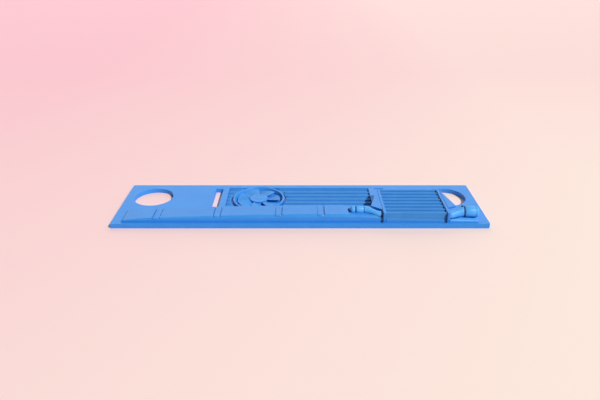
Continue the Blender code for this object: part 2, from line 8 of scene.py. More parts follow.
import bmesh
import bpy
import numpy as np
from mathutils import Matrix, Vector


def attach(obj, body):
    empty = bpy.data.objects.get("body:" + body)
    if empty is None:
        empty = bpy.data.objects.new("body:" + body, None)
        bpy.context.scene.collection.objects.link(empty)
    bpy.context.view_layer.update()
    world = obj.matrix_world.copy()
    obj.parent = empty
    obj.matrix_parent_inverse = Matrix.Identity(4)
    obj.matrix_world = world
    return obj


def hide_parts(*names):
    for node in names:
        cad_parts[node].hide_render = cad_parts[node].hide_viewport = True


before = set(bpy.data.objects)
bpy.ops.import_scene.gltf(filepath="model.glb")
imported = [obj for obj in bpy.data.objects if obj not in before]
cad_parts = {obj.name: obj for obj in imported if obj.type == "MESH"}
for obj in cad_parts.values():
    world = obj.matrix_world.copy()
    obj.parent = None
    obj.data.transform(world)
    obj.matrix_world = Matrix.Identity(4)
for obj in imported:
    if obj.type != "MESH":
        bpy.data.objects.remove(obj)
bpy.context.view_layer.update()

MM = 0.001
HAIR = 0.05          # the gap between touching pieces, mm

# Slide plate, mm. A rectangle is ((left, right), (front, back))
LENGTH, DEPTH, THICK = 76.0, 18.3, 1.0
FRONT, BACK = -DEPTH / 2, DEPTH / 2
PLATE_CORNERS = (0.10, 0.30, 0.12, 0.12)
HOLE_X, HOLE_Y, HOLE_R = 32.0, 3.1, 4.17
SLOT, SLOT_CORNER = ((-18.90, -17.25), (-3.0, 7.30)), 0.18
VENT, VENT_FLOOR = ((16.75, 18.75), (7.10, 7.50)), 0.30
BELOW, ABOVE = -THICK, 2 * THICK          # where cutting tools start and end

# Channel and fins
CHANNEL, CHANNEL_CORNER = ((-15.90, 15.45), (-3.70, 7.72)), 0.06
CHANNEL_FLOOR, TRAY_TOP, FIN_TOP = 0.30, 0.60, 0.88
FIN_THICK, FIN_PITCH = 0.42, 1.74

# Fan ring
FAN = (-9.0, 2.70)
FAN_FLOOR = 0.10
RING_R, RING_RIM, THROAT_R, WELL_R, TRENCH = 5.60, 0.42, 4.85, 6.30, 0.40
MOUTH_ROUND = ((0.04, 0.0), (0.012, 0.012), (-0.01, 0.05))   # out from the mouth, down from the top
THROAT_ROUND = ((0.01, 0.03), (0.03, 0.0))                   # out from the throat, up from the bottom
TURNED_ROUND, ROUND_STEPS = 0.07, 5                          # the outer edges of the ring and the hub cap

# Impeller and hub cap
BLADES, BLADE_PHASE, BLADE_SWEEP = 7, math.radians(-20), math.radians(11)
BLADE_REACH, BLADE_HIGH, BLADE_LOW = 4.62, 0.86, 0.28
BLADE_NOSE, BLADE_TAIL, BLADE_GAP = 0.20, 0.07, 0.24
BLADE_CROWDING, BLADE_DROOP = 1.25, 1.7    # powers that crowd points to the nose and curve the slope
BLADE_STEPS, BLADE_STATIONS, BLADE_ROOT = 14, 12, 0.25
NOSE_SHARE, NOSE_BLUNT = 0.05, 0.35
HUB_R, HUB_Z = 1.86, (0.30, 0.84)
BORE_R = 0.75
CAP_R, CAP_TOP, CAP_GAP, CAP_LIP = 1.96, 0.98, 0.02, 0.02
CAP_GROOVE = ((1.2, 0.0), (1.15, 0.012), (1.05, 0.012), (1.0, 0.0))      # radius and depth

# Front rail
RAIL_Y = (FRONT + 0.72, -3.98)
RAIL_X = (-35.90, 35.80)
RAIL_PEAK, RAIL_TIP, RAIL_END = 1.63, 0.28, 0.30
RAIL_PEAK_X = (0.0, 9.0)
RAIL_RISE, RAIL_FALL = 0.45, 1.15          # powers that shape the crown left and right of its peak
RAIL_ROUND, RAIL_ROUND_SHARE, RAIL_FOOT = 0.06, 0.2, 0.02
RAIL_STATIONS, RAIL_CROWDING, TAIL_STATIONS = 81, 1.25, 15
SEAT = THICK + HAIR
CHAMFER = 0.26

# Straps: the ends of each, and the gaps left beside it
STRAPS = (((-29.47, -28.22), (0.20, 0.13)), ((-17.30, -16.08), (0.13, 0.15)),
          ((-4.86, -3.74), (0.08, 0.20)), ((3.58, 4.72), (0.06, 0.27)))
STRAP_DROP, STRAP_THICK, STRAP_SEAT = 0.05, 0.22, 0.02
STRAP_TOOL_PAST = 1.0
SNUG = 0.012         # how closely the rail's grooves wrap the tubes, mm

# Ribbed cartridge
CORE_X = (17.30, 29.24)
LIP, LIP_DROP, LIP_ROUND = 0.10, 0.02, (0.06, 0.02)
CORE_Y = (RAIL_Y[0] + LIP, 2.46)
CORE_STEP, CORE_TOP, CORE_STATIONS = THICK + 1.76, THICK + 2.05, 25
RIB_PITCH, RIB_THICK, RIBS, RIB_ROUND = 1.49, 0.40, 8, 0.10
WALL, GASKET, GASKET_PROUD = 0.55, 0.15, 0.30
RAIL_STOP = CORE_X[0] - WALL - GASKET - 3 * HAIR
TAIL_START = CORE_X[1] + WALL + GASKET + 3 * HAIR

# Gussets: how far each stands out at its shoulder and its corner, and the y of its front
HOOD_THICK = 0.45
HOOD_BACK = (1.90, 1.60)
HOOD_CORNER_Y = -5.10
LEFT_HOOD, RIGHT_HOOD = (0.12, 1.95, -6.75), (0.20, 1.80, -5.85)
LEG_FRONT, LEG_SPREAD = -2.60, 0.85

# Inlet and outlet: y, z and radius, then the places along x where one length ends and the next starts
INLET = (-6.41, THICK + 1.86, 0.775)
INLET_X = (10.05, 11.20, 12.95, 16.25)
INLET_SHIFT, INLET_TAPER, INLET_NOSE = (1.15, 0.52), 0.10, 0.60
OUTLET = (-6.10, THICK + 1.23, 1.16)
OUTLET_X = (33.20, 33.45, 36.30)
NECK_SHIFT = (1.10, 0.32)
JOINT = 0.10

# Outlines of the turned pieces: along x, and in from the side
NOSE_STEPS, NOSE_START = 18, 0.1
PLUG_END = ((0.05, 0.0), (0.02, 0.01), (0.0, 0.05))          # back from the plug's end
INLET_COLLAR, INLET_COLLAR_SUNK = (-0.05, 0.12), 0.10
TUBE_START = ((0.17, 0.04), (0.20, 0.01), (0.25, 0.0))       # on from the collar
TUBE_END = ((0.04, 0.0), (0.0, 0.03))                        # back from the bend
BEND_STEPS, BEND_START, BEND_ROUND = 24, 0.01, 0.03
OUTLET_COLLAR_SUNK = 0.02
END_START = ((0.0, 0.05), (0.02, 0.015), (0.05, 0.0))        # on from the end cap's open end
END_GROOVE = ((0.90, 0.0), (0.85, 0.02), (0.80, 0.055),      # back from its closed end
              (0.70, 0.055), (0.65, 0.02), (0.60, 0.002))
DOME_DEPTH, DOME_FLAT, DOME_STEPS, DOME_START = 0.60, 0.35, 14, 0.6
SCREW = ((0.0, 0.03), (0.22, 0.03), (0.22, 0.17),            # radius, and height above the tube
         (0.20, 0.21), (0.17, 0.22), (0.0, 0.22))
SCREW_BACK = 0.45

# The outlet's waist: a share of the way along, and a share of the tube's radius, blurred to a curve
NECK_SHAPE = ((0.0, 0.66), (0.14, 0.74), (0.28, 0.72), (0.45, 0.74), (0.65, 0.84), (0.85, 0.96), (1.0, 0.99))
NECK_STEPS, NECK_BLUR, BLUR_SAMPLES = 32, 0.06, 9

# Grooves for the tubes in the rail: their steps, and how far each runs on at its two ends
INLET_GROOVE_STEPS, INLET_GROOVE_PAST = 16, (0.3, 1.0)
OUTLET_GROOVE_STEPS, OUTLET_GROOVE_PAST = 8, (1.0, 2.0)

# How far edges are rounded
PLATE_EDGE, TRAY_EDGE, RAIL_EDGE, STRAP_EDGE, RIB_EDGE = 0.045, 0.04, 0.02, 0.025, 0.02
WALL_EDGE, GASKET_EDGE, COLLAR_EDGE, HOOD_EDGE = 0.05, 0.03, 0.02, 0.05

# Sides of a drawn circle
HOLE_SIDES, RING_SIDES, HUB_SIDES, SCREW_SIDES, TUBE_SIDES = 128, 160, 96, 32, 64

# Plastic. Scales are in cycles per metre, heights and radii in mm, and a pair is a range's two ends
CLOUD_SCALE, PIGMENT_STOPS = 420.0, (0.30, 0.52, 0.78)
SPECK_SCALE, SPECK_STOPS = 9000.0, ((0.2, (0.93, 0.93, 0.93)), (0.8, (1.0, 1.0, 1.0)))
FLOW_STRETCH, FLOW_SHARE = (60.0, 2600.0, 2600.0), 0.35
RUB_SCALE, RUB_AMOUNT, RUB_NOISE = 2400.0, (0.08, 0.42), (0.35, 0.7)
RUB_GAIN, RUB_LIFT = 1.15, 0.05
SCUFF_SCALE, SCUFF_NOISE = 1500.0, (0.3, 0.7)
SCUFF_SHINE, SCUFF_DULL = 0.06, 0.08
GRAIN_SCALE, GRAIN_HEIGHT = 14000.0, 0.004
EDGE_RADIUS, EDGE_LEAN, EDGE_SAMPLES = 0.09, (0.995, 0.86), 6

# Turned steel
TONE_SCALE, TONE_DARK, TONE_STOPS = 3000.0, 0.8, (0.3, 0.7)
TURNING_SCALE, TURNING_WOBBLE = 9000.0, 1.5
TURNING_SHINE, TURNING_DULL = 0.05, 0.1
TURNING_STRENGTH, TURNING_HEIGHT = 0.4, 0.003

# Floor, light and camera, with distances in metres
FLOOR_HALF = 3.0
FLOOR_ACROSS, ACROSS_SHARE = (-0.09, 0.07), 0.6
FLOOR_AWAY, AWAY_SHARE = (-0.05, 0.12), 0.4
# The floor is pink, graded to pale cream towards the front right; the pink is the floor's tint and the
# grading is painted light across the floor.
FLOOR_TINTS_AND_LIGHT = ((0.0, (0.945, 0.565, 0.62)), (0.5, (0.95, 0.680, 0.668)), (1.0, (0.985, 0.86, 0.75)))
FLOOR_ROUGHNESS, FLOOR_SPECULAR = 0.9, 0.1
SUN_ENERGY, SUN_ANGLE, SUN_COLOUR, SUN_FROM = 3.08, 0.05, (1.0, 1.0, 1.0), (0.76, -0.64, 1.0)
AIR_COLOUR, AIR_STRENGTH = (1.0, 0.97, 0.95), 0.16
SCREEN_WIDTH, SCREEN_HEIGHT, SCREEN_ENERGY, SCREEN_AT = 3.6, 1.5, 20.0, (0.0, 1.8, 1.05)
LENS, SENSOR, CLIP = 32.97, 36.0, (0.001, 10.0)
CAMERA_AT, CAMERA_DOWN = (0.0, -0.105005, 0.054291), 26.565      # down is in degrees below level


# ---------------------------------------------------------------- materials

def link(tree, start, end):
    tree.links.new(start, end)


def feed(tree, socket, value):
    """Links another node's output to the socket, or sets it to a plain value."""
    if hasattr(value, "is_output"):
        link(tree, value, socket)
    else:
        socket.default_value = value


def start_material(name):
    material = bpy.data.materials.new(name)
    material.use_nodes = True
    tree = material.node_tree
    place = tree.nodes.new("ShaderNodeTexCoord").outputs["Object"]
    return material, tree, tree.nodes["Principled BSDF"], place


def noise_node(tree, coords, scale, detail=3.0, roughness=0.55):
    noise = tree.nodes.new("ShaderNodeTexNoise")
    noise.inputs["Scale"].default_value = scale
    noise.inputs["Detail"].default_value = detail
    noise.inputs["Roughness"].default_value = roughness
    link(tree, coords, noise.inputs["Vector"])
    return noise.outputs["Fac"]


def ramp_node(tree, factor, stops):
    ramp = tree.nodes.new("ShaderNodeValToRGB")
    elements = ramp.color_ramp.elements
    for element, (place, colour) in zip(elements, (stops[0], stops[-1])):
        element.position, element.color = place, (*colour, 1.0)
    for place, colour in stops[1:-1]:
        element = elements.new(place)
        element.color = (*colour, 1.0)
    link(tree, factor, ramp.inputs["Fac"])
    return ramp.outputs["Color"]


def range_node(tree, value, low, high, start=0.0, end=1.0):
    node = tree.nodes.new("ShaderNodeMapRange")
    node.inputs["From Min"].default_value = start
    node.inputs["From Max"].default_value = end
    node.inputs["To Min"].default_value = low
    node.inputs["To Max"].default_value = high
    link(tree, value, node.inputs["Value"])
    return node.outputs["Result"]


def math_node(tree, operation, *values):
    node = tree.nodes.new("ShaderNodeMath")
    node.operation = operation
    for socket, value in zip(node.inputs, values):
        feed(tree, socket, value)
    return node.outputs["Value"]


def mix_colour(tree, blend, factor, a, b):
    node = tree.nodes.new("ShaderNodeMix")
    node.data_type, node.blend_type = "RGBA", blend
    for socket, value in ((node.inputs["Factor"], factor), (node.inputs["A"], a), (node.inputs["B"], b)):
        feed(tree, socket, value)
    return node.outputs["Result"]


def bump_node(tree, height, strength, distance, shader):
    bump = tree.nodes.new("ShaderNodeBump")
    bump.inputs["Strength"].default_value = strength
    bump.inputs["Distance"].default_value = distance * MM
    link(tree, height, bump.inputs["Height"])
    link(tree, bump.outputs["Normal"], shader.inputs["Normal"])


def edge_mask(tree, radius):
    """1 along convex and concave edges, 0 on flat ground, from how far a rounded normal leans."""
    bevel = tree.nodes.new("ShaderNodeBevel")
    bevel.samples = EDGE_SAMPLES
    bevel.inputs["Radius"].default_value = radius
    geometry = tree.nodes.new("ShaderNodeNewGeometry")
    dot = tree.nodes.new("ShaderNodeVectorMath")
    dot.operation = "DOT_PRODUCT"
    link(tree, bevel.outputs["Normal"], dot.inputs[0])
    link(tree, geometry.outputs["Normal"], dot.inputs[1])
    return range_node(tree, dot.outputs["Value"], 0.0, 1.0, *EDGE_LEAN)


def plastic(name, base, deep, pale, roughness, specular, grain=0.5):
    """Moulded plastic: cloudy pigment, spark-eroded grain, faint flow lines, rubbed edges and scuffs."""
    material, tree, shader, place = start_material(name)

    cloud = noise_node(tree, place, CLOUD_SCALE, detail=4.0)
    speck = noise_node(tree, place, SPECK_SCALE, detail=2.0)
    stretch = tree.nodes.new("ShaderNodeMapping")
    stretch.inputs["Scale"].default_value = FLOW_STRETCH
    link(tree, place, stretch.inputs["Vector"])
    flow = noise_node(tree, stretch.outputs["Vector"], scale=1.0, detail=2.0)

    pigment = ramp_node(tree, cloud, list(zip(PIGMENT_STOPS, (deep, base, pale))))
    grey = ramp_node(tree, speck, SPECK_STOPS)
    colour = mix_colour(tree, "MULTIPLY", 1.0, pigment, grey)
    edges = edge_mask(tree, EDGE_RADIUS * MM)
    rub = range_node(tree, noise_node(tree, place, RUB_SCALE), *RUB_AMOUNT, *RUB_NOISE)
    worn = math_node(tree, "MULTIPLY", edges, rub)
    rubbed = tuple(min(1.0, channel * RUB_GAIN + RUB_LIFT) for channel in pale)
    colour = mix_colour(tree, "MIX", worn, colour, (*rubbed, 1.0))
    link(tree, colour, shader.inputs["Base Color"])

    scuff = noise_node(tree, place, SCUFF_SCALE, detail=5.0, roughness=0.65)
    dullness = range_node(tree, scuff, roughness - SCUFF_SHINE, roughness + SCUFF_DULL, *SCUFF_NOISE)
    link(tree, dullness, shader.inputs["Roughness"])
    shader.inputs["Specular IOR Level"].default_value = specular
    shader.inputs["Metallic"].default_value = 0.0

    grain_height = noise_node(tree, place, GRAIN_SCALE)
    height = math_node(tree, "MULTIPLY_ADD", flow, FLOW_SHARE, grain_height)
    bump_node(tree, height, grain, GRAIN_HEIGHT, shader)
    return material


def metal(name, base, roughness):
    """Turned steel: fine circular tool lines and a slightly uneven tone."""
    material, tree, shader, place = start_material(name)
    tone = noise_node(tree, place, TONE_SCALE, detail=4.0)
    dark = tuple(channel * TONE_DARK for channel in base)
    link(tree, ramp_node(tree, tone, list(zip(TONE_STOPS, (dark, base)))), shader.inputs["Base Color"])
    wave = tree.nodes.new("ShaderNodeTexWave")
    wave.wave_type, wave.rings_direction = "RINGS", "Z"
    wave.inputs["Scale"].default_value = TURNING_SCALE
    wave.inputs["Distortion"].default_value = TURNING_WOBBLE
    shift = tree.nodes.new("ShaderNodeMapping")
    shift.inputs["Location"].default_value = (-FAN[0] * MM, -FAN[1] * MM, 0.0)
    link(tree, place, shift.inputs["Vector"])
    link(tree, shift.outputs["Vector"], wave.inputs["Vector"])
    dullness = range_node(tree, wave.outputs["Fac"], roughness - TURNING_SHINE, roughness + TURNING_DULL)
    link(tree, dullness, shader.inputs["Roughness"])
    bump_node(tree, wave.outputs["Fac"], TURNING_STRENGTH, TURNING_HEIGHT, shader)
    shader.inputs["Metallic"].default_value = 1.0
    return material


# ---------------------------------------------------------------- shapes

def mesh_from(builder):
    bm = bmesh.new()
    builder(bm)
    bmesh.ops.recalc_face_normals(bm, faces=bm.faces)
    mesh = bpy.data.meshes.new("shape")
    bm.to_mesh(mesh)
    bm.free()
    return mesh


def loose(builder, name="tool"):
    obj = bpy.data.objects.new(name, mesh_from(builder))
    bpy.context.scene.collection.objects.link(obj)
    return obj


def outline_prism(points, direction):
    def build(bm):
        face = bm.faces.new([bm.verts.new(Vector(p) * MM) for p in points])
        out = bmesh.ops.extrude_face_region(bm, geom=[face])
        moved = [g for g in out["geom"] if isinstance(g, bmesh.types.BMVert)]
        bmesh.ops.translate(bm, verts=moved, vec=Vector(direction) * MM)
    return build


def block(x, y, z):
    points = [(x[0], y[0], z[0]), (x[1], y[0], z[0]), (x[1], y[1], z[0]), (x[0], y[1], z[0])]
    return outline_prism(points, (0, 0, z[1] - z[0]))


def flat_prism(points, z):
    return outline_prism([(x, y, z[0]) for x, y in points], (0, 0, z[1] - z[0]))


def side_prism(points, x):
    return outline_prism([(x[0], y, z) for y, z in points], (x[1] - x[0], 0, 0))


def disc(radius, z, centre):
    turns = [2 * math.pi * step / HOLE_SIDES for step in range(HOLE_SIDES)]
    points = [(centre[0] + radius * math.cos(turn), centre[1] + radius * math.sin(turn)) for turn in turns]
    return flat_prism(points, z)


def skin(bm, rings, closed_section, closed_run):
    runs = len(rings) if closed_run else len(rings) - 1
    for run in range(runs):
        here, there = rings[run], rings[(run + 1) % len(rings)]
        spans = len(here) if closed_section else len(here) - 1
        for side in range(spans):
            after = (side + 1) % len(here)
            bm.faces.new((here[side], here[after], there[after], there[side]))


def loft(sections):
    def build(bm):
        rings = [[bm.verts.new(Vector(p) * MM) for p in section] for section in sections]
        skin(bm, rings, closed_section=True, closed_run=False)
        bm.faces.new(rings[0])
        bm.faces.new(rings[-1])
    return build


def turned_z(profile, centre, sides, closed=True):
    """A section of (radius, z) turned about a vertical axis. Open sections start and end on the axis."""
    def build(bm):
        rings = []
        ends = [] if closed else [bm.verts.new(Vector((*centre, profile[k][1])) * MM) for k in (0, -1)]
        body = profile if closed else profile[1:-1]
        for step in range(sides):
            turn = 2 * math.pi * step / sides
            c, s = math.cos(turn), math.sin(turn)
            points = [(centre[0] + radius * c, centre[1] + radius * s, z) for radius, z in body]
            rings.append([bm.verts.new(Vector(point) * MM) for point in points])
        skin(bm, rings, closed_section=closed, closed_run=True)
        if not closed:
            for step in range(sides):
                here, there = rings[step], rings[(step + 1) % sides]
                bm.faces.new((ends[0], here[0], there[0]))
                bm.faces.new((ends[1], there[-1], here[-1]))
    return build


def circles(centres, radii):
    sections = []
    for (x, y, z), radius in zip(centres, radii):
        turns = [2 * math.pi * step / TUBE_SIDES for step in range(TUBE_SIDES)]
        sections.append([(x, y + radius * math.cos(t), z + radius * math.sin(t)) for t in turns])
    return sections


def turned_x(profile, centre):
    return loft(circles([(x, *centre) for x, _ in profile], [r for _, r in profile]))


def fillet(points, radius, steps=4):
    """Rounds each corner of a closed 2-D outline; radius may be one number or one per corner."""
    nearly_straight, under_half = 0.02, 0.49
    rounded, count = [], len(points)
    radii = radius if hasattr(radius, "__len__") else [radius] * count
    for index, corner in enumerate(points):
        corner = Vector(corner)
        before = Vector(points[index - 1]) - corner
        after = Vector(points[(index + 1) % count]) - corner
        half = before.angle(after) / 2
        if radii[index] <= 0 or abs(half - math.pi / 2) < nearly_straight:
            rounded.append(tuple(corner))
            continue
        limit = min(under_half * before.length, under_half * after.length)
        reach = min(radii[index] / math.tan(half), limit)
        start, end = corner + before.normalized() * reach, corner + after.normalized() * reach
        for step in range(steps + 1):
            t = step / steps
            rounded.append(tuple(start * (1 - t) ** 2 + corner * 2 * t * (1 - t) + end * t * t))
    return rounded


def rounded_box(sides, radius):
    (left, right), (front, back) = sides
    return fillet([(left, front), (right, front), (right, back), (left, back)], radius)


def shares(steps):
    """0 to 1 in even steps."""
    return [step / steps for step in range(steps + 1)]


def ease(share):
    """A smooth start and stop between 0 and 1."""
    return share * share * (3 - 2 * share)


def cut(obj, builder, operation="DIFFERENCE"):
    tool = loose(builder)
    boolean = obj.modifiers.new("cut", "BOOLEAN")
    boolean.operation, boolean.solver, boolean.object = operation, "EXACT", tool
    settle(obj)
    bpy.data.objects.remove(tool, do_unlink=True)


def settle(obj):
    """Turns the modifiers into the mesh."""
    depsgraph = bpy.context.evaluated_depsgraph_get()
    depsgraph.update()
    mesh = bpy.data.meshes.new_from_object(obj.evaluated_get(depsgraph))
    obj.modifiers.clear()
    obj.data = mesh


def soften(obj, width, segments=2, angle=28):
    """Joins doubled points and flat neighbours, then rounds the edges sharper than the angle."""
    weld, flat = 1e-7, math.radians(0.5)
    bm = bmesh.new()
    bm.from_mesh(obj.data)
    bmesh.ops.remove_doubles(bm, verts=bm.verts, dist=weld)
    bmesh.ops.dissolve_limit(bm, angle_limit=flat, verts=bm.verts, edges=bm.edges)
    bm.to_mesh(obj.data)
    bm.free()
    bevel = obj.modifiers.new("soft", "BEVEL")
    bevel.width, bevel.segments, bevel.limit_method = width * MM, segments, "ANGLE"
    bevel.angle_limit = math.radians(angle)
    bevel.use_clamp_overlap = True
    settle(obj)


def shade(obj, angle=40):
    """Smooth shading that keeps broad faces flat and sharp edges crisp."""
    obj.data.shade_smooth()
    obj.data.set_sharp_from_angle(angle=math.radians(angle))
    weighted = obj.modifiers.new("normals", "WEIGHTED_NORMAL")
    large_faces_lead = 100
    weighted.weight, weighted.keep_sharp = large_faces_lead, True


def wear(obj, material):
    obj.data.materials.clear()
    obj.data.materials.append(material)


def piece(name, builder, material, body="root", replaces=None, width=0.0, segments=2, cuts=(),
          angle=28, sharp=40):
    """One visual piece: cut, its edges rounded by the width, shaded, and standing in for its CAD node."""
    obj = loose(builder, name + "_look")
    for tool in cuts:
        cut(obj, tool)
    if width:
        soften(obj, width, segments, angle)
    shade(obj, sharp)
    wear(obj, material)
    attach(obj, body)
    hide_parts(*(replaces or [name]))
    return obj


# ---------------------------------------------------------------- materials in use

# The middle, deep and pale colour of each plastic, then its roughness, specular level and grain
PLATE = plastic("plate_look", (0.042, 0.300, 0.84), (0.039, 0.288, 0.82), (0.047, 0.312, 0.86), 0.36, 0.30)
RAIL = plastic("rail_look", (0.040, 0.292, 0.81), (0.037, 0.280, 0.79), (0.044, 0.304, 0.83), 0.34, 0.32)
# A darker, duller copy of the plate plastic for the fin tray, the ribs and the cartridge case; its darker
# blue is painted shade of the ribbed areas.
RIB_SHADED = plastic("rib_shaded_look", (0.058, 0.285, 0.70), (0.053, 0.272, 0.68), (0.064, 0.298, 0.72),
              0.66, 0.20, 0.7)
BLADE = plastic("blade_look", (0.048, 0.305, 0.80), (0.043, 0.290, 0.77), (0.054, 0.320, 0.82),
                0.42, 0.26, 0.3)
# A brighter copy of the blue plastic for the inlet, the outlet and the rail tail; the extra brightness is
# painted light, lifting their shaded undersides.
FITTING_LIT = plastic("fitting_lit_look", (0.092, 0.430, 0.95), (0.084, 0.410, 0.93), (0.100, 0.445, 0.97),
                  0.42, 0.30, 0.3)
# A dark blue for the gaskets, the collars and the bleed screw; its darkness is painted shade, standing in
# for the shade in the gaps at the gaskets and the collar joints.
GAP_SHADE_DARK = plastic("gap_shade_dark_look", (0.020, 0.085, 0.29), (0.016, 0.072, 0.25), (0.028, 0.10, 0.33),
                      0.68, 0.3)
STEEL = metal("steel_look", (0.55, 0.56, 0.58), 0.28)


# ---------------------------------------------------------------- slide plate and fin tray

def plate_piece():
    half = LENGTH / 2
    cuts = [disc(HOLE_R, (BELOW, ABOVE), (side * HOLE_X, HOLE_Y)) for side in (-1, 1)]
    cuts.append(flat_prism(rounded_box(SLOT, SLOT_CORNER), (BELOW, ABOVE)))
    cuts.append(flat_prism(rounded_box(CHANNEL, CHANNEL_CORNER), (CHANNEL_FLOOR, ABOVE)))
    cuts.append(block(*VENT, (VENT_FLOOR, ABOVE)))
    cuts.append(disc(RING_R + HAIR, (FAN_FLOOR, ABOVE), FAN))
    outline = rounded_box(((-half, half), (FRONT, BACK)), PLATE_CORNERS)
    piece("base_plate", flat_prism(outline, (0.0, THICK)), PLATE, width=PLATE_EDGE, cuts=cuts)


def tray_piece():
    x = (CHANNEL[0][0] + HAIR, CHANNEL[0][1] - HAIR)
    y = (CHANNEL[1][0] + HAIR, CHANNEL[1][1] - HAIR)
    bottom = CHANNEL_FLOOR + HAIR
    fins = int((y[1] - y[0] - FIN_THICK) / FIN_PITCH) + 1
    outline = [(y[0], TRAY_TOP), (y[0], bottom), (y[1], bottom)]
    for index in range(fins):
        back = y[1] - index * FIN_PITCH
        foot = [(back, TRAY_TOP)] if index else []
        outline += foot + [(back, FIN_TOP), (back - FIN_THICK, FIN_TOP), (back - FIN_THICK, TRAY_TOP)]
    cuts = [disc(WELL_R, (TRAY_TOP, ABOVE), FAN), disc(RING_R + TRENCH, (BELOW, THICK), FAN)]
    piece("fin_tray", side_prism(outline, x), RIB_SHADED, width=TRAY_EDGE, cuts=cuts)


# ---------------------------------------------------------------- fan

def round_over(radius, top, steps):
    """The points of a quarter round from a turned side up and in towards its top face."""
    points = []
    for step in range(1, steps + 1):
        turn = step / ROUND_STEPS * math.pi / 2
        inward, down = TURNED_ROUND * (1 - math.cos(turn)), TURNED_ROUND * (1 - math.sin(turn))
        points.append((radius - inward, top - down))
    return points


def ring_piece():
    bottom, top = FAN_FLOOR + HAIR, THICK
    mouth = RING_R - RING_RIM
    profile = [(RING_R, bottom + TURNED_ROUND), (RING_R, top - TURNED_ROUND)]
    profile += round_over(RING_R, top, ROUND_STEPS - 1)
    profile += [(mouth + out, top - down) for out, down in MOUTH_ROUND]
    profile += [(THROAT_R + out, bottom + up) for out, up in THROAT_ROUND]
    profile.append((RING_R - TURNED_ROUND, bottom))
    piece("fan_ring", turned_z(profile, FAN, RING_SIDES), RAIL, sharp=50)


def blade_section(reach, turn):
    sweep = BLADE_SWEEP * (reach - HUB_R) / (BLADE_REACH - HUB_R)
    start = turn + sweep + BLADE_GAP / 2 / reach
    span = 2 * math.pi / BLADES - BLADE_GAP / reach
    nose = BLADE_HIGH - BLADE_NOSE / 2
    fall = nose - BLADE_LOW + BLADE_TAIL / 2
    upper, lower = [], []
    for step in range(BLADE_STEPS + 1):
        share = (step / BLADE_STEPS) ** BLADE_CROWDING
        middle = nose - fall * share ** BLADE_DROOP
        thick = BLADE_NOSE + (BLADE_TAIL - BLADE_NOSE) * share
        if share < NOSE_SHARE:
            thick *= min(1.0, NOSE_BLUNT + math.sqrt(share / NOSE_SHARE) * (1 - NOSE_BLUNT))
        angle = start + span * share
        for row, z in ((upper, middle + thick / 2), (lower, middle - thick / 2)):
            row.append((FAN[0] + reach * math.cos(angle), FAN[1] + reach * math.sin(angle), z))
    return upper + lower[::-1]


def impeller_piece():
    hub = [(BORE_R, HUB_Z[0]), (HUB_R, HUB_Z[0]), (HUB_R, HUB_Z[1]), (BORE_R, HUB_Z[1])]
    obj = loose(turned_z(hub, FAN, HUB_SIDES), "impeller_look")
    inner = HUB_R - BLADE_ROOT
    for index in range(BLADES):
        turn = BLADE_PHASE + index * 2 * math.pi / BLADES
        steps = range(BLADE_STATIONS + 1)
        reaches = [inner + (BLADE_REACH - inner) * step / BLADE_STATIONS for step in steps]
        cut(obj, loft([blade_section(reach, turn) for reach in reaches]), "UNION")
    shade(obj, angle=35)
    wear(obj, BLADE)
    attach(obj, "fan")
    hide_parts("impeller")


def hub_cap_piece():
    bottom = HUB_Z[1] + CAP_GAP
    profile = [(0.0, bottom), (CAP_R - CAP_LIP, bottom), (CAP_R, bottom + CAP_LIP)]
    profile.append((CAP_R, CAP_TOP - TURNED_ROUND))
    profile += round_over(CAP_R, CAP_TOP, ROUND_STEPS)
    profile += [(radius, CAP_TOP - depth) for radius, depth in CAP_GROOVE]
    profile.append((0.0, CAP_TOP))
    shape = turned_z(profile, FAN, HUB_SIDES, closed=False)
    piece("hub_cap", shape, PLATE, body="fan", sharp=30)


# ---------------------------------------------------------------- front rail and straps

def crown(x):
    """How high the rail stands above the plate."""
    if x < RAIL_PEAK_X[0]:
        share = (x - RAIL_X[0]) / (RAIL_PEAK_X[0] - RAIL_X[0])
        return RAIL_TIP + (RAIL_PEAK - RAIL_TIP) * max(share, 0.0) ** RAIL_RISE
    share = max(x - RAIL_PEAK_X[1], 0.0) / (RAIL_X[1] - RAIL_PEAK_X[1])
    return RAIL_PEAK - (RAIL_PEAK - RAIL_END) * share ** RAIL_FALL


def rail_section(x, back=RAIL_Y[1]):
    top, chamfer, front = THICK + crown(x), CHAMFER * crown(x), RAIL_Y[0]
    corners = [(front, SEAT), (front, top - chamfer), (front + chamfer, top), (back, top), (back, SEAT)]
    soft = min(RAIL_ROUND, RAIL_ROUND_SHARE * crown(x))
    radii = [RAIL_FOOT, soft, soft, soft, RAIL_FOOT]
    return [(x, y, z) for y, z in fillet(corners, radii, steps=3)]


def band_section(x, drop, bottom, reach):
    """A band across the rail from drop to bottom below its top, and reach past its front and back."""
    top, slope = THICK + crown(x), RAIL_Y[0] + CHAMFER * crown(x)
    back = RAIL_Y[1] + reach
    corners = ((slope - drop - reach, top - drop), (back, top - drop),
               (back, top - bottom), (slope - bottom - reach, top - bottom))
    return [(x, y, z) for y, z in corners]


def between(limits, count, power=1.0):
    """Places from one limit to the other, crowded towards the first if the power is above 1."""
    return [limits[0] + (limits[1] - limits[0]) * (k / (count - 1)) ** power for k in range(count)]


def bend_centre(share):
    """The middle of the inlet tube, a share of the way along its bend."""
    y, z, _ = INLET
    _, _, bend, finish = INLET_X
    moved = ease(share)
    return (bend + (finish - bend) * share, y - INLET_SHIFT[0] * moved, z - INLET_SHIFT[1] * moved)


def neck_centre(share):
    """The middle of the outlet tube, a share of the way along its neck."""
    y, z, _ = OUTLET
    finish = OUTLET_X[0] - JOINT
    left = 1 - ease(share)
    return (TAIL_START + (finish - TAIL_START) * share, y - NECK_SHIFT[0] * left, z - NECK_SHIFT[1] * left)


def tube_groove(centres, radius):
    return loft(circles(centres, [radius + SNUG] * len(centres)))


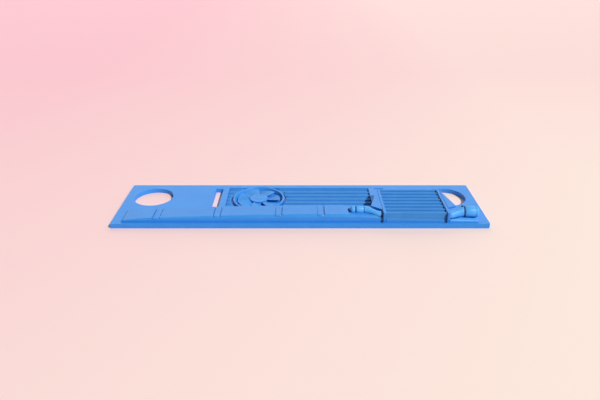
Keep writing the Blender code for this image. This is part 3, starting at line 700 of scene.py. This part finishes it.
def rail_pieces():
    y, z, radius = INLET
    before, after = INLET_GROOVE_PAST
    groove = [(INLET_X[0] - before, y, z)] + [bend_centre(share) for share in shares(INLET_GROOVE_STEPS)]
    groove.append((INLET_X[3] + after, *groove[-1][1:]))
    cuts = []
    for limits, gaps in STRAPS:
        wide = (limits[0] - gaps[0], limits[1] + gaps[1])
        depth = STRAP_DROP + STRAP_THICK + STRAP_SEAT
        cuts.append(loft([band_section(x, -STRAP_TOOL_PAST, depth, STRAP_TOOL_PAST) for x in wide]))
    cuts.append(tube_groove(groove, radius))
    stations = between((RAIL_X[0], RAIL_STOP), RAIL_STATIONS, RAIL_CROWDING)
    piece("front_rail", loft([rail_section(x) for x in stations]), RAIL,
          width=RAIL_EDGE, segments=1, cuts=cuts, angle=40)
    for number, (limits, _) in enumerate(STRAPS, start=1):
        band = loft([band_section(x, STRAP_DROP, STRAP_DROP + STRAP_THICK, 0.0) for x in limits])
        piece(f"rail_strap_{number}", band, RAIL, width=STRAP_EDGE)


def rail_tail_piece():
    y, z, radius = OUTLET
    before, after = OUTLET_GROOVE_PAST
    groove = [(TAIL_START - before, y - NECK_SHIFT[0], z - NECK_SHIFT[1])]
    groove += [neck_centre(share) for share in shares(OUTLET_GROOVE_STEPS)]
    groove.append((RAIL_X[1] + after, y, z))
    stations = between((TAIL_START, RAIL_X[1]), TAIL_STATIONS)
    back = y - NECK_SHIFT[0]
    piece("rail_tail", loft([rail_section(x, back) for x in stations]), FITTING_LIT,
          width=RAIL_EDGE, segments=1, cuts=[tube_groove(groove, radius)], angle=40)


# ---------------------------------------------------------------- cartridge

def case_section(x):
    lip_top = min(THICK + (1 - CHAMFER) * crown(x), CORE_STEP - LIP_DROP)
    front = RAIL_Y[0]
    wide, narrow = LIP_ROUND
    corners = ((front, SEAT), (front, lip_top - wide), (front + narrow, lip_top - narrow),
               (front + wide, lip_top), (CORE_Y[0], lip_top), (CORE_Y[0], CORE_STEP),
               (CORE_Y[1], CORE_STEP), (CORE_Y[1], SEAT))
    return [(x, y, z) for y, z in corners]


def rib_piece(number):
    front, foot = CORE_Y[0] + HAIR + (number - 1) * RIB_PITCH, CORE_STEP + SNUG
    back = front + RIB_THICK
    corners = [(front, foot), (back, foot), (back, CORE_TOP), (front, CORE_TOP)]
    outline = fillet(corners, [0.0, 0.0, RIB_ROUND, RIB_ROUND], steps=5)
    piece(f"cartridge_rib_{number}", side_prism(outline, CORE_X), RIB_SHADED,
          width=RIB_EDGE, segments=1, angle=50)


def gasket_piece(side, x):
    front, back, top = RAIL_Y[0] - GASKET_PROUD, CORE_Y[1], CORE_TOP - HAIR
    outline = [(front, SEAT), (back, SEAT), (back, top), (front, top)]
    if side == "left":
        low = CORE_TOP - HOOD_THICK - HAIR
        step = LEFT_HOOD[2] - HAIR
        outline = [(front, SEAT), (back, SEAT), (back, low), (step, low), (step, top), (front, top)]
    # The gasket's dark blue is painted shade of the gap beside the cartridge.
    piece(f"{side}_gasket", side_prism(outline, x), GAP_SHADE_DARK, width=GASKET_EDGE)


def end_wall_piece(side, x):
    shape = block(x, (RAIL_Y[0], CORE_Y[1]), (SEAT, CORE_TOP))
    piece(f"{side}_end_wall", shape, RAIL, width=WALL_EDGE, segments=3)


def cartridge_pieces():
    case = loft([case_section(x) for x in between(CORE_X, CORE_STATIONS)])
    piece("cartridge_case", case, RIB_SHADED)
    for number in range(1, RIBS + 1):
        rib_piece(number)
    wall, gasket = (end_wall_piece, WALL), (gasket_piece, GASKET)
    for side, face, outward, layers in (("left", CORE_X[0], -1, (wall, gasket)),
                                        ("right", CORE_X[1], 1, (gasket, wall))):
        inner = face
        for layer_piece, thick in layers:
            inner += outward * HAIR
            layer_piece(side, sorted((inner, inner + outward * thick)))
            inner += outward * thick


def hood_pieces():
    face = WALL + GASKET + 3 * HAIR
    back, shoulder = HOOD_BACK
    for side, edge, outward, cover, (narrow, wide, front) in (
            ("left", CORE_X[0], -1, GASKET + HAIR, LEFT_HOOD), ("right", CORE_X[1], 1, 0.0, RIGHT_HOOD)):
        inner = edge + outward * face
        root = inner - outward * cover
        outline = [(root, back), (inner + outward * narrow, shoulder),
                   (inner + outward * wide, HOOD_CORNER_Y), (root, front)]
        leg = [(inner, back - cover), (inner + outward * narrow, shoulder - cover),
               (inner + outward * (narrow + LEG_SPREAD), LEG_FRONT), (inner, LEG_FRONT)]
        obj = loose(flat_prism(outline, (CORE_TOP - HOOD_THICK, CORE_TOP)), f"{side}_hood_look")
        cut(obj, flat_prism(leg, (SEAT, CORE_TOP)), "UNION")
        soften(obj, HOOD_EDGE, segments=3)
        shade(obj)
        wear(obj, PLATE)
        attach(obj, "root")
        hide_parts(f"{side}_hood")


# ---------------------------------------------------------------- inlet and outlet

def inlet_pieces():
    start, collar, bend, _ = INLET_X
    y, z, radius = INLET
    plug_end, tube_end = collar - JOINT, bend - JOINT

    turns = [(step + NOSE_START) / NOSE_STEPS * math.pi / 2 for step in range(NOSE_STEPS)]
    plug = [(start + INLET_NOSE * (1 - math.cos(turn)), radius * math.sin(turn)) for turn in turns]
    plug.append((start + INLET_NOSE, radius))
    plug += [(plug_end - along, radius - inset) for along, inset in PLUG_END]
    piece("inlet_plug", turned_x(plug, (y, z)), FITTING_LIT, body="inlet_plug", sharp=50)

    ring = [(collar + along, radius - INLET_COLLAR_SUNK) for along in INLET_COLLAR]
    piece("inlet_collar", turned_x(ring, (y, z)), GAP_SHADE_DARK, width=COLLAR_EDGE)

    tube = [(collar + along, radius - inset) for along, inset in TUBE_START]
    tube += [(tube_end - along, radius - inset) for along, inset in TUBE_END]
    piece("inlet_tube", turned_x(tube, (y, z)), FITTING_LIT)

    places = [max(share, BEND_START) for share in shares(BEND_STEPS)]
    centres = [(bend, y, z)] + [bend_centre(share) for share in places]
    radii = [radius - BEND_ROUND] + [radius - INLET_TAPER * ease(share) for share in places]
    piece("inlet_bend", loft(circles(centres, radii)), FITTING_LIT)


def neck_swell(share):
    """The neck's thickness a share of the way along, as a share of the outlet tube's radius."""
    places, swells = zip(*NECK_SHAPE)
    window = np.clip(share + np.linspace(-NECK_BLUR, NECK_BLUR, BLUR_SAMPLES), 0, 1)
    return float(np.mean(np.interp(window, places, swells)))


def outlet_pieces():
    collar, cap, finish = OUTLET_X
    y, z, radius = OUTLET
    places = shares(NECK_STEPS)
    centres = [neck_centre(share) for share in places]
    radii = [radius * neck_swell(share) for share in places]
    piece("outlet_neck", loft(circles(centres, radii)), FITTING_LIT)

    ring = [(x, radius - OUTLET_COLLAR_SUNK) for x in (collar, cap - HAIR)]
    piece("outlet_collar", turned_x(ring, (y, z)), GAP_SHADE_DARK, width=COLLAR_EDGE)

    body = [(cap + along, radius - inset) for along, inset in END_START]
    body += [(finish - along, radius - inset) for along, inset in END_GROOVE]
    for step in range(DOME_STEPS):
        turn = (step + DOME_START) / DOME_STEPS * math.pi / 2
        across = radius * (DOME_FLAT + (1 - DOME_FLAT) * math.cos(turn))
        body.append((finish - DOME_DEPTH * (1 - math.sin(turn)), across))
    piece("outlet_cap", turned_x(body, (y, z)), FITTING_LIT, body="outlet_cap", sharp=60)

    screw_x = (collar + cap - HAIR) / 2 - SCREW_BACK
    screw = [(out, z + radius + up) for out, up in SCREW]
    shape = turned_z(screw, (screw_x, y), SCREW_SIDES, closed=False)
    piece("bleed_screw", shape, GAP_SHADE_DARK)


plate_piece()
tray_piece()
ring_piece()
impeller_piece()
hub_cap_piece()
rail_pieces()
rail_tail_piece()
cartridge_pieces()
hood_pieces()
inlet_pieces()
outlet_pieces()
for node in ("hub_bush", "thrust_washer", "fan_spindle"):
    wear(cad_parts[node], STEEL)


# ---------------------------------------------------------------- floor, light and camera

def floor():
    def build(bm):
        bmesh.ops.create_grid(bm, x_segments=1, y_segments=1, size=FLOOR_HALF)
    obj = loose(build, "floor")
    material, tree, shader, place = start_material("floor_look")
    split = tree.nodes.new("ShaderNodeSeparateXYZ")
    link(tree, place, split.inputs["Vector"])
    across = range_node(tree, split.outputs["X"], 0.0, 1.0, *FLOOR_ACROSS)
    away = range_node(tree, split.outputs["Y"], 1.0, 0.0, *FLOOR_AWAY)
    scaled = math_node(tree, "MULTIPLY", away, AWAY_SHARE)
    blend = math_node(tree, "MULTIPLY_ADD", across, ACROSS_SHARE, scaled)
    # The ramp grades the floor's colour with its place: painted light.
    link(tree, ramp_node(tree, blend, FLOOR_TINTS_AND_LIGHT), shader.inputs["Base Color"])
    shader.inputs["Roughness"].default_value = FLOOR_ROUGHNESS
    shader.inputs["Specular IOR Level"].default_value = FLOOR_SPECULAR
    obj.data.materials.append(material)


def sunlight():
    sun = bpy.data.lights.new("key", "SUN")
    sun.energy, sun.angle = SUN_ENERGY, SUN_ANGLE
    sun.color = SUN_COLOUR
    key = bpy.data.objects.new("key", sun)
    key.rotation_euler = Vector(SUN_FROM).to_track_quat("Z", "Y").to_euler()
    bpy.context.scene.collection.objects.link(key)


def surroundings():
    world = bpy.data.worlds.new("studio")
    world.use_nodes = True
    background = world.node_tree.nodes["Background"]
    background.inputs["Color"].default_value = (*AIR_COLOUR, 1.0)
    background.inputs["Strength"].default_value = AIR_STRENGTH
    bpy.context.scene.world = world


def back_screen():
    screen = bpy.data.lights.new("screen", "AREA")
    screen.shape, screen.size, screen.size_y = "RECTANGLE", SCREEN_WIDTH, SCREEN_HEIGHT
    screen.energy = SCREEN_ENERGY
    back = bpy.data.objects.new("screen", screen)
    back.location = SCREEN_AT
    back.rotation_euler = (Vector((0.0, 0.0, 0.0)) - back.location).to_track_quat("-Z", "Y").to_euler()
    bpy.context.scene.collection.objects.link(back)


def camera():
    data = bpy.data.cameras.new("camera")
    data.lens, data.sensor_width = LENS, SENSOR
    data.clip_start, data.clip_end = CLIP
    obj = bpy.data.objects.new("camera", data)
    obj.location = CAMERA_AT
    obj.rotation_euler = (math.radians(90 - CAMERA_DOWN), 0.0, 0.0)
    bpy.context.scene.collection.objects.link(obj)
    bpy.context.scene.camera = obj


floor()
sunlight()
surroundings()
back_screen()
camera()
bpy.context.scene.view_settings.view_transform = "Standard"
